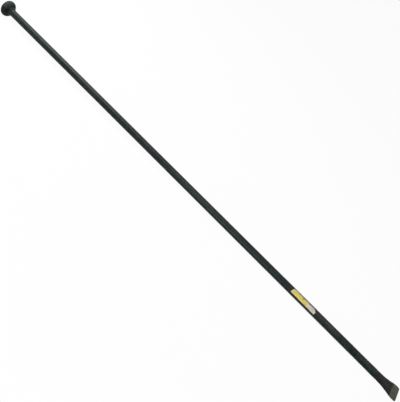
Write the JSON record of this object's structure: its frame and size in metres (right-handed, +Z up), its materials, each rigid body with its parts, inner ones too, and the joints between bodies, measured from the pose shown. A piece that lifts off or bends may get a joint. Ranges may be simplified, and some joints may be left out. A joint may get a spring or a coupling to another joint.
{
  "type": "digging bar",
  "caption": "Long round steel digging bar with a round tamper head at one end, a flared chisel blade with a ground bevel at the other, and a wrapped label.",
  "frame": {"origin": "bottom centre of the bar's box: midway along its length, under its axis, at the lowest point of the tamper head", "axes": "+X along the bar from the tamping face to the cutting edge, +Z up, square to the blade's flat faces, +Y across the blade"},
  "size_m": [1.829, 0.059, 0.059],
  "materials": {
    "shaft_paint": "satin near-black paint with a faint green cast over rolled steel",
    "head_paint": "satin near-black paint over a forged surface",
    "weld_paint": "satin near-black paint over a dressed weld bead",
    "blade_steel": "satin near-black paint over a forged surface, with a bare ground bevel",
    "label_yellow": "yellow printed adhesive film",
    "label_white": "white printed adhesive film"
  },
  "bodies": {
    "root": {"shaft": "shaft_paint", "tamper_head": "head_paint", "head_weld": "weld_paint", "chisel_blade": "blade_steel", "blade_weld": "weld_paint", "label": "label_yellow", "label_panel": "label_white"}
  },
  "joints": []
}
